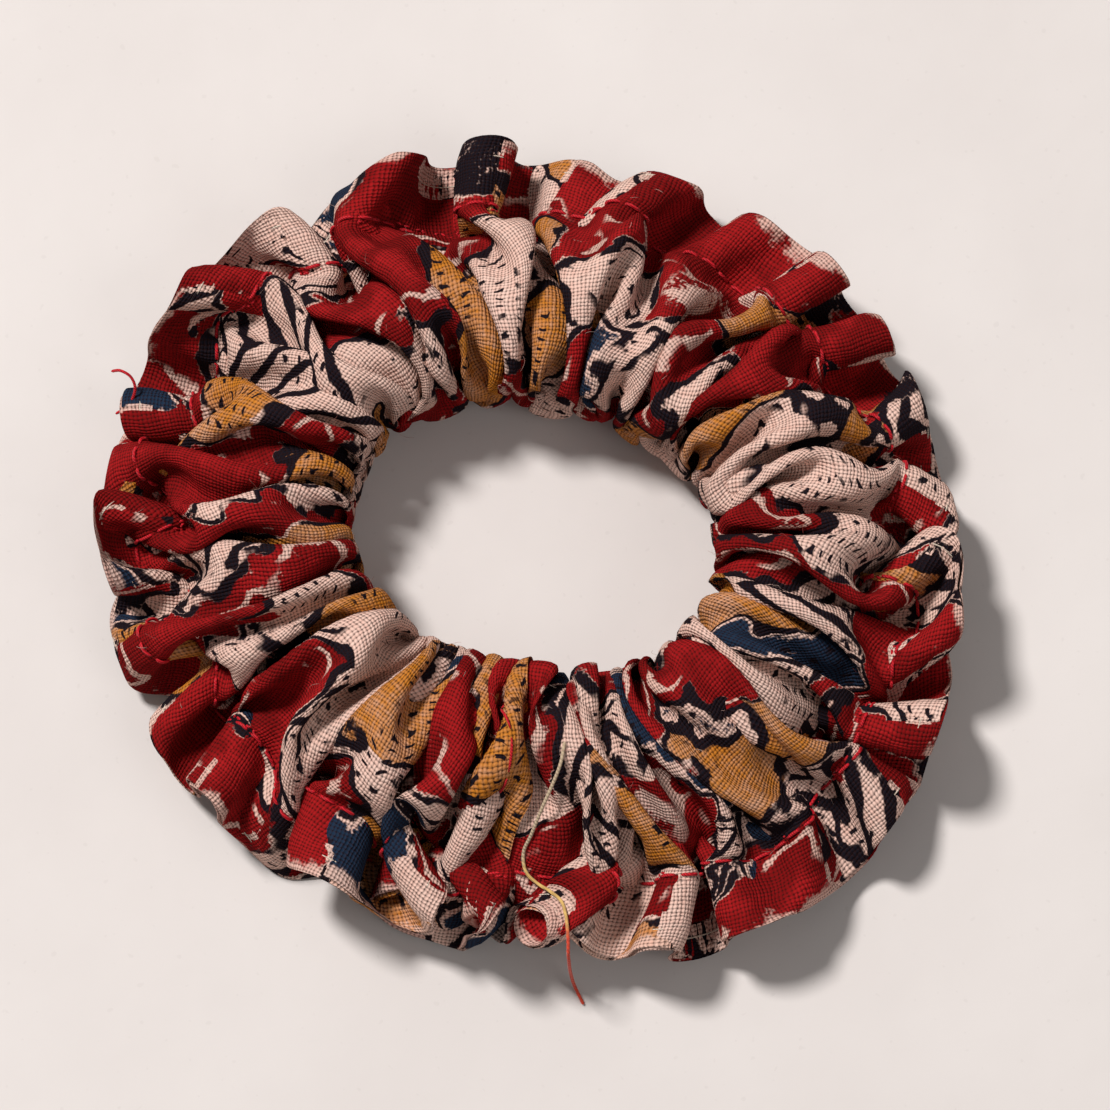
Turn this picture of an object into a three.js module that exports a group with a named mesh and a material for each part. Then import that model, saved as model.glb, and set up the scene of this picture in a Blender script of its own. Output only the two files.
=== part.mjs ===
// Fabric scrunchie: one gathered strip of printed cotton, sewn into a tube round a ring of flat elastic.
// Millimetres, +Z up. The scrunchie lies flat on z = 0, with its box centred on x = y = 0.
// The cover is a plain solid for the gathered cloth: a puffed casing with a two-layer frill outside it.
import * as THREE from "three";
import { mergeVertices } from "three/addons/utils/BufferGeometryUtils.js";

const DEGREE = Math.PI / 180;
const THREAD_GAP = 0.3; // clear space between a thread and what it lies on
const THREAD_RADIUS = 0.2;
const THREAD_SIDES = 6;

// Plan of the ring: two ovals, each a mean radius and a stretch along one direction.
const RIM = { x: -0.5, y: 0.3, mean: 49.7, stretch: 1.1, direction: 170 };
const HOLE = { x: 0.6, y: 0.8, mean: 19.0, stretch: 2.7, direction: 165 };
const BULGE = { reach: 4.2, direction: 318, spread: 32 }; // the frill flares out on one side

// Section of the cover before it is bent to the plan: radii from the ring's axis, heights from the table.
const FOLD_RADIUS = 20; // innermost fold, round the hair
const RIM_RADIUS = 48.5;
const STITCH_RADIUS = 39.5; // row of topstitch between casing and frill
const SEAM_RADIUS = 45.5; // seam that joins the strip's long edges
const CASING_HEIGHT = 18;
const MID_HEIGHT = 7.5; // height of the slit between the two layers of frill
const SLIT = 1.0;
const STITCHED_THICKNESS = 5.0; // both layers with their gathers, where the topstitch holds them
const RIM_THICKNESS = 4.2;
const CHANNEL = { inner: 27.2, outer: 32.2, low: 3.5, high: 11.5 }; // space that the elastic lies in

// Folds round the ring.
const COLUMNS = 96;
const GATHERS = COLUMNS / 2; // tight gathers on the casing, one to every two columns
const FRILL_WAVES = COLUMNS / 4;
const GATHER_DEPTH = 0.08; // share of the height above the slit
const FOLD_DEPTH = 0.45;
const WAVE_HEIGHT = 3.0;
const LAP_ANGLE = -97.5; // where the ends of the strip lap, on a crest of the folds

const ELASTIC = { radius: 28.9, width: 6, thickness: 1.0, lap: 24, steps: 84 };

function around(oval, angle) {
  return oval.mean + oval.stretch * Math.cos(2 * (angle - oval.direction * DEGREE));
}

function bulge(angle) {
  const turn = angle - BULGE.direction * DEGREE;
  const off = Math.atan2(Math.sin(turn), Math.cos(turn)) / (BULGE.spread * DEGREE);
  return BULGE.reach * Math.exp(-off * off);
}

// Bends a point of the plain round section to the ring's plan and folds.
function ringPoint(angle, radius, height) {
  const share = (radius - FOLD_RADIUS) / (RIM_RADIUS - FOLD_RADIUS);
  const turn = angle - LAP_ANGLE * DEGREE;
  const casing = Math.max(0, 1 - (radius - FOLD_RADIUS) / (STITCH_RADIUS - FOLD_RADIUS));
  const frill = Math.max(0, (radius - STITCH_RADIUS) / (RIM_RADIUS - STITCH_RADIUS));
  const gather = Math.cos(GATHERS * turn) * Math.sqrt(casing);
  const hole = around(HOLE, angle) - FOLD_DEPTH * gather;
  const reach = THREE.MathUtils.lerp(hole, around(RIM, angle) + bulge(angle), share);
  const lift = Math.max(0, height - MID_HEIGHT) * GATHER_DEPTH * gather;
  const wave = WAVE_HEIGHT * frill * Math.cos(FRILL_WAVES * turn);
  return new THREE.Vector3(
    THREE.MathUtils.lerp(HOLE.x, RIM.x, share) + reach * Math.cos(angle),
    THREE.MathUtils.lerp(HOLE.y, RIM.y, share) + reach * Math.sin(angle),
    height + lift + wave,
  );
}

// Turns a closed section, listed clockwise, about the axis and bends every point of it to the ring.
function ringGeometry(section) {
  const geometry = new THREE.LatheGeometry([...section, section[0]].reverse(), COLUMNS);
  geometry.rotateX(Math.PI / 2);
  geometry.deleteAttribute("normal");
  geometry.deleteAttribute("uv");
  const position = geometry.attributes.position;
  for (let i = 0; i < position.count; i++) {
    const x = position.getX(i);
    const y = position.getY(i);
    const bent = ringPoint(Math.atan2(y, x), Math.hypot(x, y), position.getZ(i));
    position.setXYZ(i, bent.x, bent.y, bent.z);
  }
  const closed = mergeVertices(geometry, 1e-3);
  closed.computeVertexNormals();
  return closed;
}

function circleShape(radius, sides) {
  const shape = new THREE.Shape();
  for (let i = 0; i < sides; i++) {
    const angle = (i / sides) * 2 * Math.PI;
    const x = radius * Math.cos(angle);
    const y = radius * Math.sin(angle);
    if (i) shape.lineTo(x, y);
    else shape.moveTo(x, y);
  }
  shape.closePath();
  return shape;
}

// A round thread or yarn along a curve through the points.
function threadGeometry(points, radius, sides, steps) {
  return new THREE.ExtrudeGeometry(circleShape(radius, sides), {
    extrudePath: new THREE.CatmullRomCurve3(points, false, "centripetal"),
    steps,
    curveSegments: 1,
    bevelEnabled: false,
  });
}

function threadRingSection(radius, height) {
  const section = [];
  for (let i = 0; i < THREAD_SIDES; i++) {
    const angle = (i / THREAD_SIDES) * 2 * Math.PI;
    const r = radius + THREAD_RADIUS * Math.cos(angle);
    section.push(new THREE.Vector2(r, height - THREAD_RADIUS * Math.sin(angle)));
  }
  return section;
}

function clothMaterial() {
  return new THREE.MeshStandardMaterial({ color: 0x9c1f1c, roughness: 0.9, metalness: 0 });
}

function elasticMaterial() {
  return new THREE.MeshStandardMaterial({ color: 0xe9e6df, roughness: 0.8, metalness: 0 });
}

function redThreadMaterial() {
  return new THREE.MeshStandardMaterial({ color: 0xc3202c, roughness: 0.6, metalness: 0 });
}

function paleThreadMaterial() {
  return new THREE.MeshStandardMaterial({ color: 0xe6ded0, roughness: 0.6, metalness: 0 });
}

function yarnMaterial() {
  return new THREE.MeshStandardMaterial({ color: 0xcf9a4e, roughness: 0.85, metalness: 0 });
}

function named(name, geometry, material) {
  const mesh = new THREE.Mesh(geometry, material);
  mesh.name = name;
  return mesh;
}

// The strip of cloth, closed round the hair side and open at the rim through the slit between its layers.
function coverCloth() {
  const stitched = STITCHED_THICKNESS / 2;
  const rim = RIM_THICKNESS / 2;
  const low = MID_HEIGHT - SLIT / 2;
  const high = MID_HEIGHT + SLIT / 2;
  const outline = [
    [FOLD_RADIUS, MID_HEIGHT],
    [FOLD_RADIUS + 0.2, 10.2],
    [FOLD_RADIUS + 1.4, 13.4],
    [FOLD_RADIUS + 4, 16.6],
    [FOLD_RADIUS + 8, CASING_HEIGHT],
    [FOLD_RADIUS + 12, CASING_HEIGHT - 0.8],
    [STITCH_RADIUS - 4, 14.2],
    [STITCH_RADIUS - 1.5, MID_HEIGHT + stitched + 0.8],
    [STITCH_RADIUS, MID_HEIGHT + stitched],
    [STITCH_RADIUS + 2, MID_HEIGHT + stitched + 0.3],
    [RIM_RADIUS, MID_HEIGHT + rim],
    [RIM_RADIUS, high],
    [SEAM_RADIUS, high],
    [STITCH_RADIUS, high],
    [CHANNEL.outer, high],
    [CHANNEL.outer, CHANNEL.high],
    [CHANNEL.inner, CHANNEL.high],
    [CHANNEL.inner, CHANNEL.low],
    [CHANNEL.outer, CHANNEL.low],
    [CHANNEL.outer, low],
    [STITCH_RADIUS, low],
    [SEAM_RADIUS, low],
    [RIM_RADIUS, low],
    [RIM_RADIUS, MID_HEIGHT - rim],
    [STITCH_RADIUS + 2, MID_HEIGHT - stitched - 0.3],
    [STITCH_RADIUS, MID_HEIGHT - stitched],
    [STITCH_RADIUS - 1.5, MID_HEIGHT - stitched - 0.8],
    [STITCH_RADIUS - 4, 1.4],
    [FOLD_RADIUS + 12, 0],
    [FOLD_RADIUS + 5, 0],
    [FOLD_RADIUS + 2.4, 1.2],
    [FOLD_RADIUS + 0.6, 4],
  ];
  const section = outline.map(([r, z]) => new THREE.Vector2(r, z));
  return named("cover_cloth", ringGeometry(section), clothMaterial());
}

// Layer that the elastic is in at a turn from its inner end: 0 against the hair side, 1 outside at the lap.
function elasticLayer(turn) {
  return THREE.MathUtils.smoothstep(turn, ELASTIC.lap, 360);
}

function elasticPoint(turn, offset) {
  const layer = elasticLayer(turn) * (ELASTIC.thickness + THREAD_GAP);
  const angle = (LAP_ANGLE + turn) * DEGREE;
  return ringPoint(angle, ELASTIC.radius + layer + offset, 0);
}

// One open strip of flat elastic, bent on edge round the channel with its ends lapped.
function elasticBand() {
  const half = ELASTIC.thickness / 2;
  const whole = 360 + ELASTIC.lap;
  const outline = [];
  for (let i = 0; i <= ELASTIC.steps; i++) {
    outline.push(elasticPoint((i / ELASTIC.steps) * whole, half));
  }
  for (let i = ELASTIC.steps; i >= 0; i--) {
    outline.push(elasticPoint((i / ELASTIC.steps) * whole, -half));
  }
  const shape = new THREE.Shape(outline.map((p) => new THREE.Vector2(p.x, p.y)));
  const geometry = new THREE.ExtrudeGeometry(shape, { depth: ELASTIC.width, bevelEnabled: false });
  geometry.translate(0, 0, MID_HEIGHT - ELASTIC.width / 2);
  return named("elastic_band", geometry, elasticMaterial());
}

// Zigzag stitch over the lapped ends, lying on the outer face of the elastic.
function elasticLapStitches() {
  const bights = 2.5;
  const swing = 2.0;
  const inset = 2.5; // degrees of the lap left clear at each end
  const points = [];
  const count = 24;
  const offset = ELASTIC.thickness / 2 + THREAD_GAP + THREAD_RADIUS;
  for (let i = 0; i <= count; i++) {
    const share = i / count;
    const turn = 360 + inset + share * (ELASTIC.lap - 2 * inset);
    const point = elasticPoint(turn, offset);
    point.z = MID_HEIGHT + swing * Math.cos(2 * Math.PI * bights * share);
    points.push(point);
  }
  const geometry = threadGeometry(points, THREAD_RADIUS, THREAD_SIDES, 2 * count);
  return named("elastic_lap_stitches", geometry, paleThreadMaterial());
}

function threadRing(name, radius, height, material) {
  return named(name, ringGeometry(threadRingSection(radius, height)), material);
}

// Lock-stitch rows: needle thread on top of the frill's root, bobbin thread under it, edge seam in the slit.
function stitchRows() {
  const clear = STITCHED_THICKNESS / 2 + THREAD_GAP + THREAD_RADIUS;
  return [
    threadRing("topstitch_needle_thread", STITCH_RADIUS, MID_HEIGHT + clear, redThreadMaterial()),
    threadRing("topstitch_bobbin_thread", STITCH_RADIUS, MID_HEIGHT - clear, redThreadMaterial()),
    threadRing("edge_seam_thread", SEAM_RADIUS, MID_HEIGHT, paleThreadMaterial()),
  ];
}

// Row of stitches across the strip, where its two ends lap, over the top of the casing.
function endLapStitches() {
  const rise = THREAD_GAP + THREAD_RADIUS + 0.1;
  const route = [
    [FOLD_RADIUS + 2, 14.6],
    [FOLD_RADIUS + 4, 17.3],
    [FOLD_RADIUS + 8, 18.6],
    [FOLD_RADIUS + 12, 17.6],
    [STITCH_RADIUS - 4, 14.4],
    [STITCH_RADIUS - 2.4, 12.3],
  ];
  const angle = LAP_ANGLE * DEGREE;
  const points = route.map(([radius, height]) => {
    const point = ringPoint(angle, radius, MID_HEIGHT);
    point.z = height + rise;
    return point;
  });
  const geometry = threadGeometry(points, THREAD_RADIUS, THREAD_SIDES, 16);
  return named("end_lap_stitches", geometry, redThreadMaterial());
}

// Yarn frayed from the raw end of the strip: over the casing and the frill, then down onto the table.
function looseYarn() {
  const route = [
    [4.2, -26.2, 19.0],
    [3.7, -28.7, 18.5],
    [2.7, -31.0, 17.1],
    [1.6, -33.2, 15.6],
    [0.4, -35.7, 13.2],
    [-0.5, -37.4, 11.4],
    [-0.3, -39.4, 10.6],
    [0.9, -40.8, 10.7],
    [2.6, -42.0, 11.2],
    [3.8, -43.2, 11.8],
    [4.3, -44.8, 12.2],
    [4.5, -46.4, 12.5],
    [4.6, -48.0, 12.5],
    [4.6, -49.3, 11.9],
    [4.7, -50.0, 10.0],
    [4.8, -50.3, 7.2],
    [5.0, -50.5, 4.0],
    [5.3, -51.0, 1.5],
    [5.8, -51.9, 0.5],
    [6.4, -53.1, 0.3],
  ];
  const radius = 0.2;
  const points = route.map(([x, y, z]) => new THREE.Vector3(x, y, z));
  return named("loose_yarn", threadGeometry(points, radius, 8, 44), yarnMaterial());
}

// Cut end of the sewing thread, curling out past the rim.
function threadTail() {
  const route = [
    [-48.9, 19.9, 12.4],
    [-47.8, 19.7, 13.3],
    [-46.6, 19.0, 13.2],
    [-46.1, 17.9, 12.4],
    [-46.5, 16.8, 11.3],
    [-47.3, 16.0, 10.6],
    [-48.5, 15.4, 10.0],
  ];
  const points = route.map(([x, y, z]) => new THREE.Vector3(x, y, z));
  return named("thread_tail", threadGeometry(points, THREAD_RADIUS, THREAD_SIDES, 12), redThreadMaterial());
}

const scrunchie = new THREE.Group();
scrunchie.add(
  coverCloth(),
  elasticBand(),
  elasticLapStitches(),
  ...stitchRows(),
  endLapStitches(),
  looseYarn(),
  threadTail(),
);

export default scrunchie;
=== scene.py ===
"""A gathered scrunchie of printed cotton, lying flat. Cloth is made in millimetres and placed in metres."""
import math

import bpy
import numpy as np
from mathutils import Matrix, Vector


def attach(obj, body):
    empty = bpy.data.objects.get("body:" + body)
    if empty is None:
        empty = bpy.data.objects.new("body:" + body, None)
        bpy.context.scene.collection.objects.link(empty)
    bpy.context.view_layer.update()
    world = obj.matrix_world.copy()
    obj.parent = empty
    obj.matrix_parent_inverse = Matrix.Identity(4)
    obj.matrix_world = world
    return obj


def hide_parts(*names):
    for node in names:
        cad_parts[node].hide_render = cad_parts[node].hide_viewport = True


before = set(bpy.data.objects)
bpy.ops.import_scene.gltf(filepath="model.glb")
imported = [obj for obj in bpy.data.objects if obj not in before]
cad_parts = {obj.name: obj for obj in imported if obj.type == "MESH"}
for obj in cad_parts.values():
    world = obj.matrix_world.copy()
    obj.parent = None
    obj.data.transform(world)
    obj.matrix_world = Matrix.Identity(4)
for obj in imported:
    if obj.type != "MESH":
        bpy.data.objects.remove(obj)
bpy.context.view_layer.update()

MM = 0.001
BODY = "root"

# Strip of cloth, in millimetres. u runs along it from its lapped end, v across it from the inner fold.
STRIP_LENGTH = 600.0
CASING = 29.0          # from the inner fold to the topstitch, on each side
FRILL = 8.5            # from the topstitch to the sewn edge
LAP = 9.0              # overlap of the strip's two ends
COLUMNS, ROWS = 400, 55
OVERFEED = 1.16        # the strip is pushed past its length as it gathers, because it springs back
RIDGE = (2.0, 1.0, 0.2)  # depth of the starting unevenness: broad, middling and fine
SWELL = 0.32           # share of each sharp bend that is opened per pass
CLOTH_GAP = 0.98       # distance that layers of cloth are kept apart
TABLE_GAP = 0.3        # and the cloth's middle from the table
HALF_WIDTH = CASING + FRILL
YARN_PITCH = 0.43      # spacing of the weave
START_ANGLE = math.radians(-93)  # where the strip's ends lap

# Plan of the ring, the same ovals as the CAD cover's.
RIM = dict(x=-0.5, y=0.3, mean=49.7, stretch=1.1, direction=math.radians(170))
HOLE = dict(x=0.6, y=0.8, mean=19.0, stretch=2.7, direction=math.radians(165))
BULGE = dict(reach=4.2, direction=math.radians(318), spread=math.radians(32))
FOLD_RADIUS, RIM_RADIUS = 20.0, 48.5
RIM_SHARE, RIM_SHIFT = 0.972, 0.6  # the cloth is held within this much of the plan, moved this far back
LOBE = dict(reach=0.075, direction=math.radians(297), spread=math.radians(24))
ELASTIC_SHARE = (29.55 - FOLD_RADIUS) / (RIM_RADIUS - FOLD_RADIUS)

rng = np.random.default_rng(11)
print_rng = np.random.default_rng(29)
lint_rng = np.random.default_rng(31)


# ---------------------------------------------------------------- camera, lights and floor

def add_camera():
    frame_width = 0.1297
    distance = 0.62
    elevation = math.radians(75)
    target = Vector((3.1, -1.5, 9.0)) * MM
    data = bpy.data.cameras.new("camera")
    data.lens = data.sensor_width * distance / frame_width
    camera = bpy.data.objects.new("camera", data)
    towards = Vector((0, -math.cos(elevation), math.sin(elevation)))
    camera.location = target + towards * distance
    camera.rotation_euler = (-towards).to_track_quat("-Z", "Y").to_euler()
    bpy.context.scene.collection.objects.link(camera)
    bpy.context.scene.camera = camera
    bpy.context.scene.view_settings.view_transform = "Standard"


def add_area_light(name, place, size, power, colour):
    data = bpy.data.lights.new(name, "AREA")
    data.shape = "DISK"
    data.size = size
    data.energy = power
    data.color = colour
    light = bpy.data.objects.new(name, data)
    light.location = place
    light.rotation_euler = (-Vector(place)).to_track_quat("-Z", "Y").to_euler()
    bpy.context.scene.collection.objects.link(light)


def add_lights():
    add_area_light("key", (-0.84, 0.68, 1.72), 0.40, 48.0, (1.0, 0.975, 0.955))
    add_area_light("fill", (1.0, -0.7, 1.2), 1.0, 4.6, (1.0, 0.98, 0.97))
    world = bpy.data.worlds.new("studio")
    world.use_nodes = True
    background = world.node_tree.nodes["Background"]
    background.inputs["Color"].default_value = (1.0, 0.975, 0.96, 1)
    background.inputs["Strength"].default_value = 0.22
    bpy.context.scene.world = world


# ---------------------------------------------------------------- node arithmetic

class Value:
    """A socket in a material, so that a pattern can be written as arithmetic."""

    def __init__(self, tree, socket):
        self.tree = tree
        self.socket = socket

    def math(self, operation, *others):
        node = self.tree.nodes.new("ShaderNodeMath")
        node.operation = operation
        for slot, value in zip(node.inputs, (self, *others)):
            if isinstance(value, Value):
                self.tree.links.new(value.socket, slot)
            else:
                slot.default_value = value
        return Value(self.tree, node.outputs[0])

    def __add__(self, other):
        return self.math("ADD", other)

    def __sub__(self, other):
        return self.math("SUBTRACT", other)

    def __mul__(self, other):
        return self.math("MULTIPLY", other)

    def floor(self):
        return self.math("FLOOR")

    def fract(self):
        return self.math("FRACT")

    def sin(self):
        return self.math("SINE")

    def abs(self):
        return self.math("ABSOLUTE")

    def least(self, other):
        return self.math("MINIMUM", other)

    def most(self, other):
        return self.math("MAXIMUM", other)

    def ramp(self, low, high):
        """0 below low and 1 above high, smooth between them; falling where high is under low."""
        node = self.tree.nodes.new("ShaderNodeMapRange")
        node.interpolation_type = "SMOOTHSTEP"
        self.tree.links.new(self.socket, node.inputs["Value"])
        falling = high < low
        node.inputs["From Min"].default_value = min(low, high)
        node.inputs["From Max"].default_value = max(low, high)
        node.inputs["To Min"].default_value = 1.0 if falling else 0.0
        node.inputs["To Max"].default_value = 0.0 if falling else 1.0
        return Value(self.tree, node.outputs["Result"])


class Pattern:
    """A material being built: its tree, coordinates, noises and colours."""

    def __init__(self, name):
        self.material = bpy.data.materials.new(name)
        self.material.use_nodes = True
        self.tree = self.material.node_tree
        self.shader = self.tree.nodes["Principled BSDF"]

    def attribute(self, name):
        node = self.tree.nodes.new("ShaderNodeAttribute")
        node.attribute_name = name
        return Value(self.tree, node.outputs["Fac"])

    def uv(self, name):
        node = self.tree.nodes.new("ShaderNodeUVMap")
        node.uv_map = name
        return node.outputs["UV"]

    def place(self):
        node = self.tree.nodes.new("ShaderNodeTexCoord")
        return node.outputs["Object"]

    def split(self, vector):
        node = self.tree.nodes.new("ShaderNodeSeparateXYZ")
        self.tree.links.new(vector, node.inputs[0])
        return [Value(self.tree, out) for out in node.outputs]

    def join(self, x, y, z=0.0):
        node = self.tree.nodes.new("ShaderNodeCombineXYZ")
        for slot, value in zip(node.inputs, (x, y, z)):
            if isinstance(value, Value):
                self.tree.links.new(value.socket, slot)
            else:
                slot.default_value = value
        return node.outputs[0]

    def noise(self, vector, scale, detail=2.0, roughness=0.5):
        """Noise about 0, mostly from -0.5 to 0.5."""
        node = self.tree.nodes.new("ShaderNodeTexNoise")
        self.tree.links.new(vector, node.inputs["Vector"])
        node.inputs["Scale"].default_value = scale
        node.inputs["Detail"].default_value = detail
        node.inputs["Roughness"].default_value = roughness
        return Value(self.tree, node.outputs["Fac"]) - 0.5

    def mix(self, amount, under, over):
        """One colour over another, each a socket or a plain colour."""
        node = self.tree.nodes.new("ShaderNodeMix")
        node.data_type = "RGBA"
        colours = [s for s in node.inputs if s.type == "RGBA"]
        self.tree.links.new(amount.socket, node.inputs[0])
        for slot, value in zip(colours, (under, over)):
            if isinstance(value, tuple):
                slot.default_value = (*value, 1.0)
            else:
                self.tree.links.new(value, slot)
        return next(s for s in node.outputs if s.type == "RGBA")

    def bump(self, height, distance, strength):
        node = self.tree.nodes.new("ShaderNodeBump")
        node.inputs["Strength"].default_value = strength
        node.inputs["Distance"].default_value = distance
        self.tree.links.new(height.socket, node.inputs["Height"])
        return node.outputs["Normal"]

    def finish(self, colour, roughness, normal, sheen=0.0, specular=0.2):
        shader = self.shader
        self.tree.links.new(colour, shader.inputs["Base Color"])
        self.tree.links.new(normal, shader.inputs["Normal"])
        shader.inputs["Roughness"].default_value = roughness
        shader.inputs["Specular IOR Level"].default_value = specular
        shader.inputs["Sheen Weight"].default_value = sheen
        shader.inputs["Sheen Roughness"].default_value = 0.4
        return self.material


def floor_material():
    pattern = Pattern("pale_plaster")
    place = pattern.place()
    broad = pattern.noise(place, 22.0, 4.0, 0.55)
    grain = pattern.noise(place, 420.0, 3.0, 0.6)
    specks = pattern.noise(place, 900.0, 1.0).ramp(0.2, 0.26)
    colour = pattern.mix((broad * 1.6 + 0.5).ramp(0.0, 1.0), (0.615, 0.572, 0.553), (0.665, 0.625, 0.606))
    colour = pattern.mix(specks * 0.10, colour, (0.35, 0.31, 0.29))
    normal = pattern.bump(broad + grain * 0.05, 0.0009, 0.5)
    return pattern.finish(colour, 0.62, normal)


def add_floor():
    half = 0.9
    mesh = bpy.data.meshes.new("floor")
    corners = [(-half, -half, 0), (half, -half, 0), (half, half, 0), (-half, half, 0)]
    mesh.from_pydata(corners, [], [(0, 1, 2, 3)])
    mesh.materials.append(floor_material())
    floor = bpy.data.objects.new("floor", mesh)
    bpy.context.scene.collection.objects.link(floor)


# ---------------------------------------------------------------- cloth

# Routes of the loose yarn and of the cut end of thread, in millimetres, as in part.mjs.
YARN_ROUTE = (
    (4.2, -26.2, 19.0), (3.7, -28.7, 18.5), (2.7, -31.0, 17.1), (1.6, -33.2, 15.6), (0.4, -35.7, 13.2),
    (-0.5, -37.4, 11.4), (-0.3, -39.4, 10.6), (0.9, -40.8, 10.7), (2.6, -42.0, 11.2), (3.8, -43.2, 11.8),
    (4.3, -44.8, 12.2), (4.5, -46.4, 12.5), (4.6, -48.0, 12.5), (4.6, -49.3, 11.9), (4.7, -50.0, 10.0),
    (4.8, -50.3, 7.2), (5.0, -50.5, 4.0), (5.3, -51.0, 1.5), (5.8, -51.9, 0.5), (6.4, -53.1, 0.3),
)
TAIL_ROUTE = (
    (-48.9, 19.9, 12.4), (-47.8, 19.7, 13.3), (-46.6, 19.0, 13.2), (-46.1, 17.9, 12.4), (-46.5, 16.8, 11.3),
    (-47.3, 16.0, 10.6), (-48.5, 15.4, 10.0),
)


def length_of(vectors):
    """Length of each vector, never quite 0, so that it can be divided by."""
    return np.sqrt(np.einsum("...k,...k->...", vectors, vectors)) + 1e-9


def smooth_route(points, count):
    """Evenly spaced points on a smooth curve through given ones."""
    points = np.asarray(points, float)
    padded = np.concatenate([2 * points[:1] - points[1:2], points, 2 * points[-1:] - points[-2:-1]])
    curve = []
    for i in range(len(points) - 1):
        a, b, c, d = padded[i:i + 4]
        for f in np.linspace(0, 1, 12, endpoint=False):
            curve.append(b + 0.5 * f * (c - a + f * (2 * a - 5 * b + 4 * c - d + f * (3 * (b - c) + d - a))))
    curve = np.array(curve + [points[-1]])
    station = np.concatenate([[0], np.cumsum(length_of(np.diff(curve, axis=0)))])
    at = np.linspace(0, station[-1], count)
    return np.stack([np.interp(at, station, curve[:, i]) for i in range(3)], -1), station[-1]


def plan(angle, share):
    """Point of the ring's plan at an angle, from 0 at the hair side to 1 at the rim."""
    off = (angle - BULGE["direction"] + math.pi) % (2 * math.pi) - math.pi
    hole = HOLE["mean"] + HOLE["stretch"] * np.cos(2 * (angle - HOLE["direction"]))
    rim = RIM["mean"] + RIM["stretch"] * np.cos(2 * (angle - RIM["direction"]))
    rim = rim + BULGE["reach"] * np.exp(-((off / BULGE["spread"]) ** 2))
    reach = hole + (rim - hole) * share
    x = HOLE["x"] + (RIM["x"] - HOLE["x"]) * share + reach * np.cos(angle)
    y = HOLE["y"] + (RIM["y"] - HOLE["y"]) * share + reach * np.sin(angle)
    return x, y


def smooth_noise(count, cells):
    """Periodic noise of count samples with that many seeded knots, on a smooth curve through them."""
    knots = rng.uniform(-1, 1, cells)
    place = np.arange(count) / count * cells
    first = np.floor(place).astype(int)
    f = place - first
    a, b, c, d = (knots[(first + k) % cells] for k in (-1, 0, 1, 2))
    return b + 0.5 * f * (c - a + f * (2 * a - 5 * b + 4 * c - d + f * (3 * (b - c) + d - a)))


def column_angles():
    """Angle of each column: the gathers are tighter near the lap and looser opposite it."""
    turn = np.arange(COLUMNS) / COLUMNS * 2 * math.pi
    return START_ANGLE + turn - 0.20 * np.sin(turn) + 0.05 * smooth_noise(COLUMNS, 9)


def strip_at_start():
    """The strip as a smooth tube with its flat frill, before it is given its full length."""
    v = np.linspace(-HALF_WIDTH, HALF_WIDTH, ROWS)
    tube_width, tube_height, lift = 20.0, 19.0, 9.9
    turn = np.linspace(0, math.pi, 400)
    along = -tube_width / 2 * np.cos(turn)
    up = tube_height / 2 * np.sin(turn)
    arc = np.concatenate([[0], np.cumsum(np.hypot(np.diff(along), np.diff(up)))])
    arc *= CASING / arc[-1]
    side = np.abs(v)
    radius = FOLD_RADIUS + tube_width / 2 + np.where(
        side <= CASING, np.interp(side, arc, along), tube_width / 2 + side - CASING)
    height = np.where(side <= CASING, np.interp(side, arc, up), 0.5)
    height = np.maximum(height, 0.5 * np.minimum(1, side / 2)) * np.sign(v)
    share = (radius - FOLD_RADIUS) / (RIM_RADIUS - FOLD_RADIUS)
    angle, share = np.meshgrid(column_angles(), share, indexing="ij")
    x, y = plan(angle, share)
    return np.stack([x, y, height[None, :] + lift + 0 * x], -1).astype(np.float32)


def grid_normals(points):
    """Directions out of the tube of cloth, at each point of the grid."""
    across = np.empty_like(points)
    across[:, 1:-1] = points[:, 2:] - points[:, :-2]
    across[:, 0] = points[:, 1] - points[:, 0]
    across[:, -1] = points[:, -1] - points[:, -2]
    normals = np.cross(across, np.roll(points, -1, 0) - np.roll(points, 1, 0))
    return normals / length_of(normals)[..., None]


def pair(points, du, dv):
    """Two views of the grid: each point, and the one du columns and dv rows on."""
    ahead = np.roll(points, -du, axis=0)
    rows = points.shape[1]
    if dv >= 0:
        return points[:, :rows - dv], ahead[:, dv:]
    return points[:, -dv:], ahead[:, :rows + dv]


def add_link(change, points, du, dv, rest, strength, push_only=False):
    """Moves points that are du columns and dv rows apart towards their rest distance."""
    first, second = pair(points, du, dv)
    gap = second - first
    length = length_of(gap)
    stretch = length - rest
    if push_only:
        stretch = np.minimum(stretch, 0)
    move = (0.5 * strength * stretch / length)[..., None] * gap
    rows = points.shape[1]
    if dv >= 0:
        change[:, :rows - dv] += move
        change[:, dv:] -= np.roll(move, du, axis=0)
    else:
        change[:, -dv:] += move
        change[:, :rows + dv] -= np.roll(move, du, axis=0)


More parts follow.
